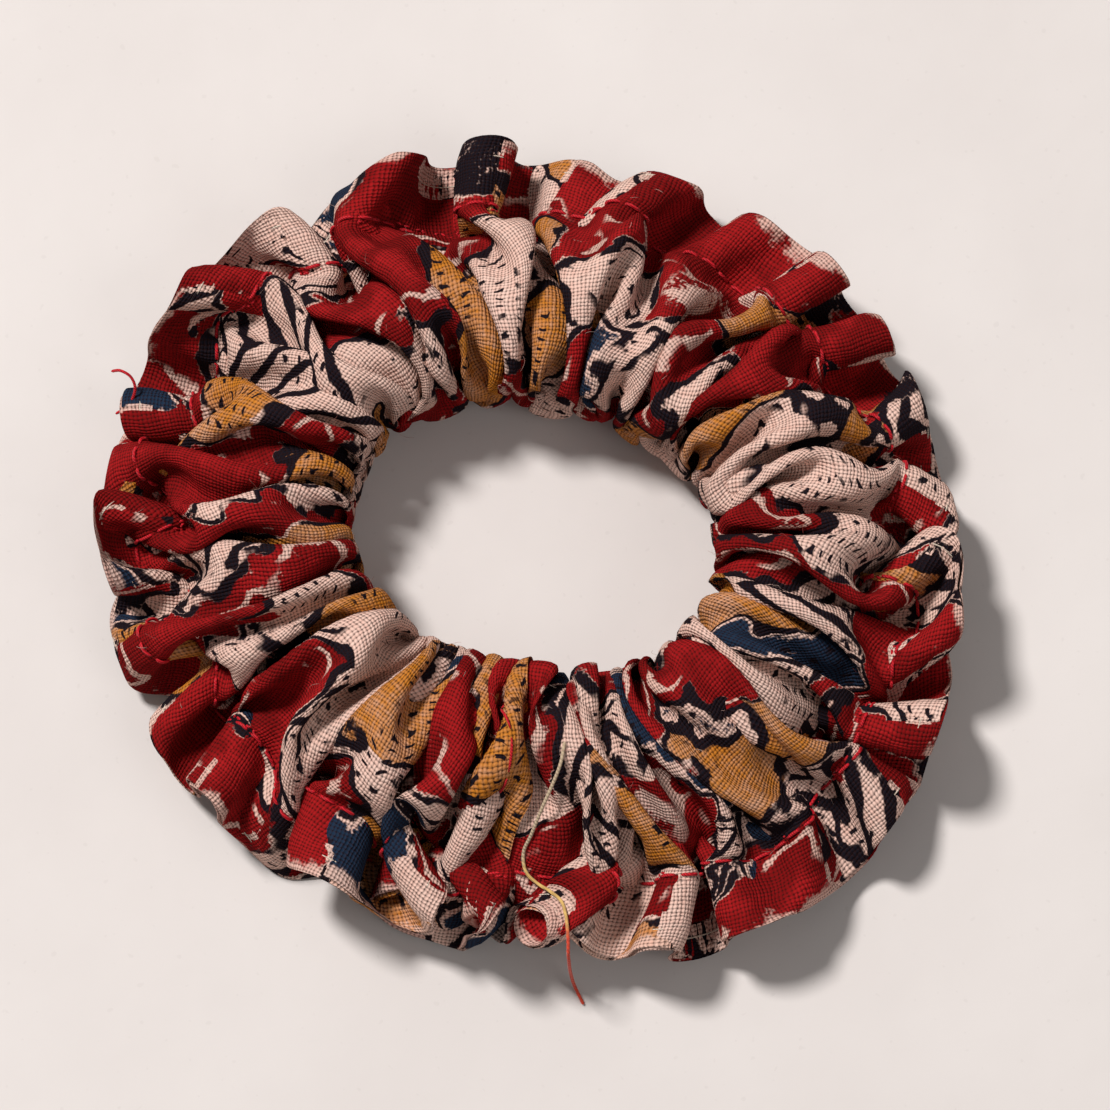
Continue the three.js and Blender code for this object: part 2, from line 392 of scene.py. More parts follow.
def close_pairs(points, reach):
    """Pairs of points of the grid nearer than reach that aren't neighbours in the cloth."""
    flat = points.reshape(-1, 3)
    cell = np.floor(flat / reach).astype(np.int64)
    cell -= cell.min(0) - 1
    size = cell.max(0) + 2
    key = (cell[:, 0] * size[1] + cell[:, 1]) * size[2] + cell[:, 2]
    order = np.argsort(key, kind="stable")
    ordered = key[order]
    index = np.arange(len(flat))
    found = []
    for dx, dy, dz in np.ndindex(3, 3, 3):
        offset = ((dx - 1) * size[1] + dy - 1) * size[2] + dz - 1
        if offset < 0:
            continue
        low = np.searchsorted(ordered, ordered + offset, "left")
        high = np.searchsorted(ordered, ordered + offset, "right")
        if offset == 0:
            low = index + 1
        count = np.maximum(high - low, 0)
        first = np.repeat(index, count)
        start = np.repeat(low - np.concatenate([[0], np.cumsum(count)[:-1]]), count)
        second = start + np.arange(count.sum())
        found.append((order[first], order[second]))
    i, j = (np.concatenate(part) for part in zip(*found))
    near = length_of(flat[i] - flat[j]) < reach
    i, j = i[near], j[near]
    turns = np.abs(i // ROWS - j // ROWS)
    turns = np.minimum(turns, COLUMNS - turns)
    apart = (turns > 2) | (np.abs(i % ROWS - j % ROWS) > 2)
    sewn = (i % ROWS + j % ROWS == ROWS - 1) & (turns < 1)
    keep = apart & ~sewn
    return i[keep], j[keep]


def add_contacts(change, points, pairs, thickness):
    """Pushes layers of cloth that touch apart."""
    flat = points.reshape(-1, 3)
    i, j = pairs
    gap = flat[i] - flat[j]
    near = np.einsum("ik,ik->i", gap, gap) < thickness * thickness
    i, j, gap = i[near], j[near], gap[near]
    length = length_of(gap)
    push = (0.5 * (length - thickness) / length)[:, None] * gap
    total = len(flat)
    moved = np.stack([np.bincount(j, axis, total) - np.bincount(i, axis, total) for axis in push.T], -1)
    touches = np.bincount(i, minlength=total) + np.bincount(j, minlength=total)
    firmness = 1.6
    moved *= (firmness / np.maximum(1, 0.5 * touches))[:, None]
    change += moved.reshape(change.shape)


def press_under_yarn(points, yarn):
    """Brings the cloth to just under the loose yarn: a valley on the casing, a crest on the frill."""
    near = (points[..., 1] < -24) & (np.abs(points[..., 0] - 2.5) < 8)
    chosen = points[near]
    row = np.nonzero(near)[1]
    off = np.hypot(chosen[:, None, 0] - yarn[None, :, 0], chosen[:, None, 1] - yarn[None, :, 1])
    at = off.argmin(1)
    off = off[np.arange(len(at)), at]
    valley_depth, valley_slope, valley_floor, valley_firmness = 0.5, 0.9, 0.8, 0.35
    ceiling = yarn[at, 2] - valley_depth + valley_slope * np.maximum(0, off - valley_floor)
    chosen[:, 2] -= valley_firmness * np.maximum(0, chosen[:, 2] - ceiling)
    crest_depth, crest_slope, crest_reach, crest_firmness = 0.6, 0.7, 3, 0.3
    support = yarn[at, 2] - crest_depth - crest_slope * off
    upper_frill = row > ROWS - 15
    crest = upper_frill & (off < crest_reach) & (chosen[:, 1] < -33) & (yarn[at, 2] > 9)
    chosen[:, 2] += crest_firmness * crest * np.maximum(0, support - chosen[:, 2])
    points[near] = chosen


def keep_clear(points):
    """Holds the cloth out of the hair opening, off the table and round the elastic."""
    x = points[..., 0] - HOLE["x"]
    y = points[..., 1] - HOLE["y"]
    radius = np.hypot(x, y)
    angle = np.arctan2(y, x)
    hole_slack, rim_pull, elastic_reach = 0.4, 0.15, 2.0
    hole = HOLE["mean"] + HOLE["stretch"] * np.cos(2 * (angle - HOLE["direction"])) - hole_slack
    off_lobe = (angle - LOBE["direction"] + math.pi) % (2 * math.pi) - math.pi
    ox, oy = plan(angle, RIM_SHARE + LOBE["reach"] * np.exp(-((off_lobe / LOBE["spread"]) ** 2)))
    rim = np.hypot(ox - HOLE["x"], oy + RIM_SHIFT - HOLE["y"])
    push = (np.maximum(0, hole - radius) - rim_pull * np.maximum(0, radius - rim)) / radius
    points[..., 0] += push * x
    points[..., 1] += push * y
    ex, ey = plan(angle, ELASTIC_SHARE)
    off = np.abs(radius - np.hypot(ex - HOLE["x"], ey - HOLE["y"]))
    over = off < elastic_reach
    above, below = ROWS // 2 + 6, ROWS // 2 - 5
    elastic_low, elastic_high = 4.0, 11.1
    top = points[:, above:, 2]
    top[over[:, above:]] = np.maximum(top[over[:, above:]], elastic_high)
    bottom = points[:, :below, 2]
    bottom[over[:, :below]] = np.minimum(bottom[over[:, :below]], elastic_low)
    points[..., 2] = np.maximum(points[..., 2], TABLE_GAP)


def ridges(start):
    """Seeded unevenness that runs mostly across the strip, so that the folds start there."""
    total = np.zeros(start.shape[:2], np.float32)
    station = np.linspace(0, 4, ROWS)
    knot = np.minimum(station.astype(int), 3)
    f = station - knot
    for cells, depth in ((22, RIDGE[0]), (46, RIDGE[1]), (90, RIDGE[2])):
        rows = np.stack([smooth_noise(COLUMNS, cells) for _ in range(5)])
        common = smooth_noise(COLUMNS, cells)
        total += depth * (0.5 * (rows[knot].T * (1 - f) + rows[knot + 1].T * f) + common[:, None])
    return total


def gathered_strip():
    """Lets the strip grow to its real length on its short ring, so that it buckles into gathers."""
    points = strip_at_start()
    spacing_v = 2 * HALF_WIDTH / (ROWS - 1)
    full = OVERFEED * STRIP_LENGTH / COLUMNS
    short = length_of(np.roll(points, -1, 0) - points)
    arch = [(step, 0.985 * length_of(points[:, step:] - points[:, :-step])) for step in (2, 5)]
    points = points + 0.3 * ridges(points)[..., None] * grid_normals(points)
    start = points.copy()
    speed = np.zeros_like(points)
    steps, passes, refresh = ((300, 4, 10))
    stitch_row = int(round(FRILL / spacing_v))
    frill = stitch_row + 1
    sewn = ((stitch_row, 0.7), (0, 1.3), (1, 1.3), (2, 1.4))  # row, and the gap between the two sides there
    middle = ROWS // 2
    held = slice(middle - 1, middle + 2)
    straight, shear, across = 1.0, 0.35, 0.30      # strengths of the links
    weight, kept_speed, top_speed = 0.002, 0.75, 0.35
    easing = 0.34                                  # share of each correction that is made
    inner_hold, inner_lift = 0.02, 0.01            # how firmly the inner fold keeps its place
    yarn, _ = smooth_route(YARN_ROUTE, 60)
    count = 0
    for step in range(steps):
        growth = min(1.0, (step + 1) / (0.72 * steps))  # the rest of the steps let it settle
        growth = growth * growth * (3 - 2 * growth)
        rest = short * (1 - growth) + full * growth
        before = points.copy()
        speed[..., 2] -= weight
        points = points + speed
        for _ in range(passes):
            change = np.zeros_like(points)
            add_link(change, points, 1, 0, rest, straight)
            add_link(change, points, 0, 1, spacing_v, straight)
            diagonal = np.hypot(rest[:, 1:], spacing_v)
            add_link(change, points, 1, 1, diagonal, shear)
            add_link(change, points, 1, -1, diagonal, shear)
            add_link(change, points, 2, 0, 1.9 * rest, SWELL, push_only=True)
            for side in (slice(None, frill), slice(-frill, None)):
                add_link(change[:, side], points[:, side], 4, 0, 3.4 * rest[:, side], SWELL, push_only=True)
            for span, rest_span in arch:
                add_link(change, points, 0, span, rest_span, across, push_only=True)
            for row, gap in sewn:
                apart = points[:, row] - points[:, ROWS - 1 - row]
                size = length_of(apart)
                move = (0.5 * (size - gap) / size)[:, None] * apart
                change[:, row] -= move
                change[:, ROWS - 1 - row] += move
            if count % refresh == 0:
                pairs = close_pairs(points, CLOTH_GAP + 0.6)
            add_contacts(change, points, pairs, CLOTH_GAP)
            points = points + easing * change
            points[:, held, :2] += inner_hold * (start[:, held, :2] - points[:, held, :2])
            points[:, held, 2] += inner_lift * (start[:, held, 2] - points[:, held, 2])
            press_under_yarn(points, yarn)
            keep_clear(points)
            count += 1
        speed = kept_speed * (points - before)
        speed *= np.minimum(1, top_speed / length_of(speed))[..., None]
    for _ in range(2):
        smoothing = 0.25 * (np.roll(points, 1, 0) + np.roll(points, -1, 0) - 2 * points)
        points = points + 0.5 * smoothing
    return points.astype(float)


def twice_as_fine(points):
    """The grid with a point added between every two, on smooth curves through them."""
    a, b, c = np.roll(points, 1, 0), np.roll(points, -1, 0), np.roll(points, -2, 0)
    between = (9 * (points + b) - a - c) / 16
    fine = np.empty((2 * points.shape[0], *points.shape[1:]))
    fine[0::2], fine[1::2] = points, between
    padded = np.concatenate([2 * fine[:, :1] - fine[:, 1:2], fine, 2 * fine[:, -1:] - fine[:, -2:-1]], 1)
    between = (9 * (padded[:, 1:-2] + padded[:, 2:-1]) - padded[:, :-3] - padded[:, 3:]) / 16
    finer = np.empty((fine.shape[0], 2 * fine.shape[1] - 1, 3))
    finer[:, 0::2], finer[:, 1::2] = fine, between
    return finer


def with_turned_edges(points, v):
    """Adds the seam allowance of each long edge, folded back against the frill's inner side."""
    last = points.shape[1] - 1
    towards = points[:, ::-1] - points
    towards /= length_of(towards)[..., None]
    parts, rows = [points], [v]
    lip = ((0.18, 0.10), (0.22, 0.26), (0.04, 0.42))  # out past the edge, and in towards the other layer
    allowance_gap = 0.44
    for end, step in ((last, -1), (0, 1)):
        edge, inward = points[:, end], towards[:, end]
        away = edge - points[:, end + step]
        away /= length_of(away)[..., None]
        added = [edge + away * out + inward * drop for out, drop in lip]
        for back in (1, 3, 5):
            row = end + step * back
            added.append(points[:, row] + allowance_gap * towards[:, row])
        places = [abs(v[end]) + s for s in (0.2, 0.4, 0.7, 1.4, 2.8, 4.2)]
        if step < 0:
            parts.append(np.stack(added, 1))
            rows.append(np.array(places))
        else:
            parts.insert(0, np.stack(added[::-1], 1))
            rows.insert(0, -np.array(places[::-1]))
    return np.concatenate(parts, 1), np.concatenate(rows)


def lapped(points):
    """Opens the ring of columns and carries one end on over the other."""
    columns = len(points)
    extra = int(round(LAP / (STRIP_LENGTH / columns)))
    order = np.arange(columns + extra + 1) % columns
    normals = grid_normals(points)
    height, ease = 0.5, 6  # of the lapped end over the other, and the columns that it takes to rise
    rise = np.clip((np.arange(columns + extra + 1) - columns + ease) / ease, 0, 1)
    rise = height * rise * rise * (3 - 2 * rise)
    u = np.arange(columns + extra + 1) * STRIP_LENGTH / columns
    return points[order] + rise[:, None, None] * normals[order], u


def grid_object(name, points, material, slot):
    """A piece from a grid of points, with a face between every four."""
    columns, rows = points.shape[:2]
    index = np.arange(columns * rows).reshape(columns, rows)
    faces = np.stack([index[:-1, :-1], index[:-1, 1:], index[1:, 1:], index[1:, :-1]], -1).reshape(-1, 4)
    return mesh_object(name, points.reshape(-1, 3), faces, material, slot)


def mesh_object(name, points, faces, material, slot):
    """A piece from points in millimetres, riding on the root body."""
    mesh = bpy.data.meshes.new(name)
    mesh.from_pydata((np.asarray(points) * MM).tolist(), [], [tuple(map(int, f)) for f in faces])
    mesh.polygons.foreach_set("use_smooth", [True] * len(mesh.polygons))
    mesh.materials.append(material)
    piece = bpy.data.objects.new(name, mesh)
    bpy.context.scene.collection.objects.link(piece)
    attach(piece, BODY)
    return piece


def add_attribute(mesh, name, values):
    layer = mesh.attributes.new(name, "FLOAT", "POINT")
    layer.data.foreach_set("value", np.asarray(values, np.float32).ravel())


def add_strip_map(mesh, coordinates):
    """UV map in millimetres along and across the strip."""
    layer = mesh.uv_layers.new(name="strip")
    corners = np.empty(len(mesh.loops), np.int32)
    mesh.loops.foreach_get("vertex_index", corners)
    layer.data.foreach_set("uv", np.asarray(coordinates, np.float32)[corners].ravel())


# ---------------------------------------------------------------- print

# Patches of the print that show from above, in millimetres: centre in plan, colour, two half sizes.
PATCHES = (
    (-3, 41, "red", 7, 5), (-7, 44, "cream", 4, 3), (-3, 32, "cream", 6, 5), (-9, 28, "mustard", 3, 7),
    (1, 24, "mustard", 3, 4), (-4, 24, "cream", 4, 4), (11, 41, "red", 5, 5), (14, 34, "cream", 5, 4),
    (20, 39, "red", 5, 5), (27, 35, "red", 8, 6), (18, 29, "red", 3, 5), (13, 26, "cream", 4, 5),
    (8, 21, "indigo", 3, 3), (28, 26, "mustard", 3, 6), (20, 16, "red", 4, 8), (32, 23, "red", 4, 7),
    (38, 17, "red", 4, 6), (26, 13, "mustard", 3, 9), (29, 9, "cream", 5, 9), (35, 11, "indigo", 3, 4),
    (38, 10, "mustard", 3, 4), (42, 11, "striped", 4, 4), (34, 2, "cream", 4, 9), (24, 1, "red", 3, 4),
    (47, 3, "red", 8, 4), (38, -2, "cream", 3, 6), (27, -7, "striped", 4, 6), (40, -10, "red", 5, 6),
    (22, -10, "mustard", 4, 3), (26, -15, "indigo", 4, 3), (31, -20, "cream", 5, 6), (43, -18, "red", 5, 5),
    (35, -26, "mustard", 3, 5), (41, -27, "red", 5, 5), (20, -23, "indigo", 2, 4),
    (25, -27, "mustard", 4, 7), (29, -40, "red", 6, 6), (32, -37, "cream", 3, 4), (14, -32, "red", 6, 5),
    (13, -25, "cream", 4, 6), (5, -23, "red", 3, 6), (5, -32, "striped", 4, 6), (8, -43, "red", 6, 4),
    (-6, -23, "red", 5, 6), (-1, -25, "mustard", 3, 5), (-7, -30, "cream", 5, 4), (-7, -38, "cream", 5, 5),
    (-3, -47, "red", 6, 3), (-15, -20, "mustard", 4, 4), (-15, -27, "mustard", 5, 5),
    (-18, -32, "cream", 5, 3), (-15, -35, "indigo", 4, 3), (-24, -24, "cream", 4, 8),
    (-28, -26, "striped", 3, 5), (-37, -19, "red", 4, 7), (-38, -13, "red", 4, 5), (-28, -13, "cream", 4, 8),
    (-24, -10, "mustard", 3, 7), (-30, -8, "red", 3, 8), (-38, -5, "striped", 3, 8), (-35, -1, "red", 3, 12),
    (-38, 10, "red", 6, 9), (-36, 15, "mustard", 3, 5), (-31, 4, "cream", 3, 7), (-23, 7, "mustard", 4, 3),
    (-44, 14, "red", 5, 4), (-34, 28, "red", 7, 6), (-29, 22, "striped", 9, 10), (-22, 25, "red", 5, 6),
    (-17, 16, "cream", 3, 5), (-14, 32, "red", 4, 4), (-23, 38, "red", 6, 4), (-27, 36, "cream", 2, 4),
    (-16, 41, "red", 4, 4), (-16, 11, "mustard", 3, 4), (-47, -1, "red", 5, 3),
)
COLOURS = ("red", "cream", "mustard", "indigo", "striped")
SHARES = (0.38, 0.30, 0.15, 0.07, 0.10)


def patch_centres(points, u, v):
    """Places of the patches on the strip: what lies uppermost there, and a seeded scatter for the rest."""
    flat = points.reshape(-1, 3)
    placed = []
    for x, y, colour, half_u, half_v in PATCHES:
        off = np.hypot(flat[:, 0] - x, flat[:, 1] - y)
        near = np.where(off < 1.2)[0]
        if len(near) == 0:
            near = [int(off.argmin())]
        at = near[int(np.argmax(flat[near, 2]))] if len(near) > 1 else near[0]
        placed.append((u[at // len(v)], v[at % len(v)], colour, half_u * 1.2, half_v))
    step = 11.0
    for cu in np.arange(step / 2, u[-1], step):
        for cv in np.arange(-HALF_WIDTH, HALF_WIDTH + 1, step):
            pu, pv = cu + print_rng.uniform(-4, 4), cv + print_rng.uniform(-4, 4)
            colour = print_rng.choice(COLOURS, p=SHARES)
            half_u, half_v = print_rng.uniform(3, 6, 2)
            if min(math.hypot(pu - q[0], pv - q[1]) - 0.7 * (q[3] + q[4]) for q in placed[:len(PATCHES)]) > 3:
                placed.append((pu, pv, colour, half_u, half_v))
    return placed


def print_fields(points, u, v):
    """For each colour, how far in millimetres each point of the strip is outside its nearest patch."""
    grid_u, grid_v = np.meshgrid(u, v, indexing="ij")
    bend_u, bend_v = grid_u.copy(), grid_v.copy()
    for wave, size in ((0.16, 1.8), (0.37, 1.1), (0.8, 0.5)):
        for _ in range(2):
            a, b, phase = print_rng.uniform(-1, 1, 3)
            ripple = size * np.sin(wave * (grid_u * (1 + a) + grid_v * (b + 0.6)) + 6 * phase)
            bend_u += ripple
            bend_v += size * np.cos(wave * (grid_v * (1 + b) - grid_u * a) + 9 * phase)
    fields = {colour: np.full(grid_u.shape, 99.0) for colour in COLOURS}
    stripe = np.zeros(grid_u.shape)
    nearest = np.full(grid_u.shape, 99.0)
    for cu, cv, colour, half_u, half_v in patch_centres(points, u, v):
        reach = 26.0
        columns = np.abs(u - cu) < reach
        du, dv = bend_u[columns] - cu, bend_v[columns] - cv
        out = (np.hypot(du / half_u, dv / half_v) - 1) * 0.5 * (half_u + half_v)
        fields[colour][columns] = np.minimum(fields[colour][columns], out)
        if colour == "striped":
            straight_u = 0.3 * du + 0.7 * (grid_u[columns] - cu)
            straight_v = 0.3 * dv + 0.7 * (grid_v[columns] - cv)
            across = np.abs(straight_u) * 0.85 + straight_v * print_rng.choice((-0.6, 0.6))
            closer = out < nearest[columns]
            stripe[columns] = np.where(closer, across, stripe[columns])
            nearest[columns] = np.minimum(nearest[columns], out)
    fields["stripe"] = stripe
    return fields


def weave(u, v, pitch):
    """Plain weave of uneven yarns: the height of whichever yarn is uppermost."""
    s, t = u * (1 / pitch), v * (1 / pitch)
    fs, ft = s.fract() * 2 - 1, t.fract() * 2 - 1
    warp_thinness = (s.floor() * 2.4 + t * 0.05).sin() * 0.28 + 1.0
    weft_thinness = (t.floor() * 1.9 + s * 0.05).sin() * 0.28 + 1.0
    warp_crown = (fs * fs * warp_thinness) * -1.0 + 1.0
    weft_crown = (ft * ft * weft_thinness) * -1.0 + 1.0
    warp_rise = (t * math.pi + s.floor() * math.pi).sin()
    weft_rise = (s * math.pi + t.floor() * math.pi).sin() * -1.0
    warp = warp_crown * 0.62 + warp_rise * 0.38
    weft = weft_crown * 0.62 + weft_rise * 0.38
    return warp.most(weft)


def printed_cotton():
    pattern = Pattern("printed_cotton")
    strip = pattern.uv("strip")
    u, v, _ = pattern.split(strip)
    # The yarns wander a little, so the weave isn't ruled.
    drift = pattern.noise(strip, 0.11, 2.0)
    drift_v = pattern.noise(pattern.join(v * 0.9, u * 0.9, 4.0), 0.11, 2.0)
    wobble = pattern.noise(strip, 0.7, 1.0) * 0.22
    height = weave(u + drift * 2.4 + wobble, v + drift_v * 2.4 - wobble, YARN_PITCH)
    unevenness = pattern.noise(strip, 1.9, 2.0, 0.6)
    height = height + unevenness * 0.45
    slub = pattern.noise(pattern.join(u * 2.0, v * 0.11), 1.0, 1.0)
    slub_weft = pattern.noise(pattern.join(u * 0.11, v * 2.0, 7.0), 1.0, 1.0)
    yarn_tone = slub * 0.5 + slub_weft * 0.5
    ragged = pattern.noise(strip, 0.55, 3.0, 0.6) * 1.8 + pattern.noise(strip, 2.1, 1.0) * 1.3
    broken = pattern.noise(strip, 0.16, 2.0)
    patchy = pattern.noise(pattern.join(v, u, 9.0), 0.13, 2.0)
    red, cream, mustard, indigo, striped = (pattern.attribute("print_" + name) for name in COLOURS)
    pale = cream.least(striped)
    in_red = (pale.least(mustard).least(indigo) - red) * 0.5
    in_mustard = (pale.least(red).least(indigo) - mustard) * 0.5
    in_indigo = (pale.least(red).least(mustard) - indigo) * 0.5
    in_striped = (cream.least(red).least(mustard).least(indigo) - striped) * 0.5
    red_print = (in_red + ragged * 0.55).ramp(0.42, 0.62)
    mustard_print = (in_mustard + ragged * 0.6).ramp(0.1, 0.35)
    indigo_print = (in_indigo + ragged * 0.7).ramp(0.9, 1.2)
    edge = in_red.abs().least(in_mustard.abs()).least(in_indigo.abs())
    outline = (edge + ragged * 0.34 + patchy * 1.2).ramp(0.62, 0.46) * broken.ramp(-0.12, -0.07)
    stripes = (pattern.attribute("print_stripe") + ragged * 0.25) * (1 / 3.3)
    stripe_line = (stripes.fract() - 0.5).abs().ramp(0.20, 0.15) * (in_striped + ragged * 0.3).ramp(0.4, 0.7)
    dash_u, dash_v = (u + ragged * 0.5) * 0.42, (v + broken * 8.0) * 0.62
    dashes = (dash_u.fract() - 0.5).abs().ramp(0.24, 0.18) * (dash_v.fract() - 0.5).abs().ramp(0.17, 0.11)
    dashes = dashes * pattern.noise(strip, 0.075, 1.0).ramp(0.03, 0.07) * (in_red * -1.0).ramp(0.5, 0.8)
    cloth = pattern.mix((yarn_tone + 0.5).ramp(0.25, 0.75), (0.76, 0.47, 0.385), (0.98, 0.69, 0.585))
    fleck = pattern.noise(strip, 0.9, 2.0).ramp(0.24, 0.30)
    # The mustard is thin, and the cloth shows through it in places.
    worn = (patchy * 1.2 + ragged * 0.35 + yarn_tone * 0.8).ramp(-0.3, 0.5) * 0.45
    colour = pattern.mix(mustard_print, cloth, pattern.mix(worn, (0.56, 0.195, 0.022), cloth))
    reds = pattern.mix((broken + patchy).ramp(-0.12, 0.12), (0.21, 0.006, 0.007), (0.36, 0.011, 0.013))
    colour = pattern.mix(red_print, colour, reds)
    colour = pattern.mix(fleck * 0.35 * in_mustard.ramp(0.3, 0.6), colour, (0.36, 0.02, 0.02))
    colour = pattern.mix(indigo_print, colour, (0.013, 0.030, 0.060))
    in_pale = (red.least(mustard).least(indigo) - pale) * 0.5
    inner = (in_pale + ragged * 0.35 - 2.0).abs().ramp(0.46, 0.32) * patchy.ramp(0.02, 0.06)
    vein = (in_red + ragged * 0.5 - 2.3).abs().ramp(0.50, 0.30) * patchy.ramp(-0.01, -0.06)
    blots = pattern.noise(pattern.join(u, v, 21.0), 0.42, 2.0, 0.7).ramp(0.17, 0.20) * in_pale.ramp(-0.4, 0.2)
    ink = outline.most(stripe_line).most(dashes).most(inner).most(blots)
    # The ink is thin and rubbed along the sewn edge.
    rubbed = (v.abs() + ragged + patchy * 9.0).ramp(HALF_WIDTH - 0.5, HALF_WIDTH + 0.3)
    colour = pattern.mix(vein * 0.85, colour, cloth)
    colour = pattern.mix(rubbed * 0.8, colour, cloth)
    colour = pattern.mix(ink, colour, (0.010, 0.009, 0.014))
    # Ink sits on the crowns of the yarns. Painted shade: the colour is darkened down the sides of the yarns
    # and darkest in the gaps where they part.
    tone = yarn_tone.ramp(-0.3, 0.3) * 0.2
    colour = pattern.mix(tone, colour, (0.0, 0.0, 0.0))
    # Painted shade down the sides of the yarns, where the weave dips.
    side = height.ramp(1.0, 0.45)
    colour = pattern.mix(side * 0.24, colour, (0.05, 0.015, 0.01))
    # Painted shade, near black, in the gaps between the yarns.
    gap = height.ramp(0.60, 0.25)
    colour = pattern.mix(gap * 0.66, colour, (0.014, 0.006, 0.006))
    normal = pattern.bump(height + slub * 0.6, 0.00026, 0.9)
    return pattern.finish(colour, 0.95, normal, specular=0.02)


def cover_cloth(points):
    """The cloth piece, and its fine grid before the turned edges and the lap are added."""
    fine = twice_as_fine(points)
    v = np.linspace(-HALF_WIDTH, HALF_WIDTH, fine.shape[1])
    edged, v_edged = with_turned_edges(fine, v)
    sheet, u = lapped(edged)
    lowest = 0.08  # the lapped end mustn't reach the table on the underside
    sheet[..., 2] = np.maximum(sheet[..., 2], lowest)
    piece = grid_object("cover_cloth_printed", sheet, printed_cotton(), "printed_cotton")
    grid_u, grid_v = np.meshgrid(u, v_edged, indexing="ij")
    add_strip_map(piece.data, np.stack([grid_u, grid_v], -1).reshape(-1, 2))
    for name, values in print_fields(sheet, u, v_edged).items():
        add_attribute(piece.data, "print_" + name, values)
    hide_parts("cover_cloth")
    return piece, fine


def add_lint(fine):
    """Short loose fibres that stand off the cloth here and there."""
    pattern = Pattern("cotton_lint")
    place = pattern.place()
    tint = pattern.noise(place, 300.0, 1.0)
    colour = pattern.mix(tint.ramp(-0.1, 0.1), (0.55, 0.42, 0.36), (0.30, 0.06, 0.05))
    material = pattern.finish(colour, 0.9, pattern.bump(tint, 0.00002, 0.2))
    normals = grid_normals(fine)
    fibres, fibre_radius = 420, 0.016
    tubes = []
    for _ in range(fibres):
        i, j = lint_rng.integers(0, fine.shape[0]), lint_rng.integers(6, fine.shape[1] - 6)
        out = normals[i, j]
        sideways = np.cross(out, lint_rng.normal(size=3))
        sideways /= np.linalg.norm(sideways)
        curl = lint_rng.normal(size=3) * 0.5
        reach, rise = lint_rng.uniform(0.5, 1.9), lint_rng.uniform(0.1, 0.8)
        f = np.linspace(0, 1, 7)[:, None]
        route = fine[i, j] + out * (0.15 + rise * np.sin(f * 2.4)) + sideways * reach * f + curl * f * f
        route[:, 2] = np.maximum(route[:, 2], 0.1)
        tubes.append(tube(route, fibre_radius, 3))
    return mesh_object("cover_cloth_lint", *joined(tubes), material, "printed_cotton")


# ---------------------------------------------------------------- threads and yarn

def tube(route, radius, sides=8, closed=False, taper=True):
    """Points and faces of a round thread along a route, with its ends brought to a point."""
    route = np.asarray(route, float)
    ahead = np.roll(route, -1, 0) - np.roll(route, 1, 0)
    if not closed:
        ahead[0], ahead[-1] = route[1] - route[0], route[-1] - route[-2]
    ahead /= length_of(ahead)[:, None]
    up = np.cross(ahead, np.tile([0.13, 0.21, 1.0], (len(route), 1)))
    up /= length_of(up)[:, None]
    side = np.cross(ahead, up)
    turn = np.arange(sides) / sides * 2 * math.pi
    ring = np.cos(turn)[None, :, None] * up[:, None] + np.sin(turn)[None, :, None] * side[:, None]
    radii = np.full(len(route), radius)
    if taper and not closed:
        radii[0] = radii[-1] = radius * 0.55
    points = route[:, None] + ring * radii[:, None, None]
    count = len(route)
    faces = []
    for i in range(count if closed else count - 1):
        for j in range(sides):
            a, b = i * sides + j, i * sides + (j + 1) % sides
            c, d = (a + sides) % (count * sides), (b + sides) % (count * sides)
            faces.append((a, b, d, c))
    points = points.reshape(-1, 3)
    if not closed:
        points = np.concatenate([points, route[:1], route[-1:]])
        last = count * sides
        for j in range(sides):
            faces.append((last, (j + 1) % sides, j))
            faces.append((last + 1, last - sides + j, last - sides + (j + 1) % sides))
    return points, faces


def joined(tubes):
    """Several tubes as one set of points and faces."""
    points, faces, start = [], [], 0
    for some_points, some_faces in tubes:
        points.append(some_points)
        faces += [tuple(i + start for i in face) for face in some_faces]
        start += len(some_points)
    return np.concatenate(points), faces


def thread_material(name, dark, light):
    """Twisted sewing thread, with random fibre tone, painted shade in the grooves of the twist and painted
    highlight on its crowns.
    """
    pattern = Pattern(name)
    place = pattern.place()
    x, y, z = pattern.split(place)
    twist = ((x + y * 0.8 + z * 1.3) * 14000.0).sin()
    hair = pattern.noise(place, 2600.0, 2.0)
    # Painted shade and highlight: darker in the twist's grooves and lighter on its crowns, mixed with random
    # fibre tone.
    colour = pattern.mix((twist * 0.35 + hair + 0.5).ramp(0.0, 1.0), dark, light)
    normal = pattern.bump(twist * 0.5 + hair, 0.00006, 0.8)
    return pattern.finish(colour, 0.55, normal, sheen=0.04)


def lock_stitches(fine, v_place):
    """One short thread for each stitch along a row of the cloth, with its ends going down into it."""
    stitch, gap, rise, radius = 2.7, 0.45, 0.14, 0.2
    row = int(round((v_place + HALF_WIDTH) / (2 * HALF_WIDTH) * (fine.shape[1] - 1)))
    line, out = fine[:, row], grid_normals(fine)[:, row]
    steps = length_of(np.roll(line, -1, 0) - line)
    station = np.concatenate([[0], np.cumsum(steps)])
    line, out = np.concatenate([line, line[:1]]), np.concatenate([out, out[:1]])
    profile = np.array([-0.34, 0.0, 0.10, 0.13, 0.10, 0.0, -0.34])
    tubes = []
    number = int(station[-1] / stitch)
    for k in range(number):
        start = k * station[-1] / number
        at = np.linspace(start + gap / 2, start + station[-1] / number - gap / 2, len(profile))
        lift = rise + profile
        points = np.stack([np.interp(at, station, line[:, i]) for i in range(3)], -1)
        normals = np.stack([np.interp(at, station, out[:, i]) for i in range(3)], -1)
        normals /= length_of(normals)[:, None]
        points = points + normals * lift[:, None]
        points[:, 2] = np.maximum(points[:, 2], radius + 0.05)
        tubes.append(tube(points, radius, 7))
    return joined(tubes)


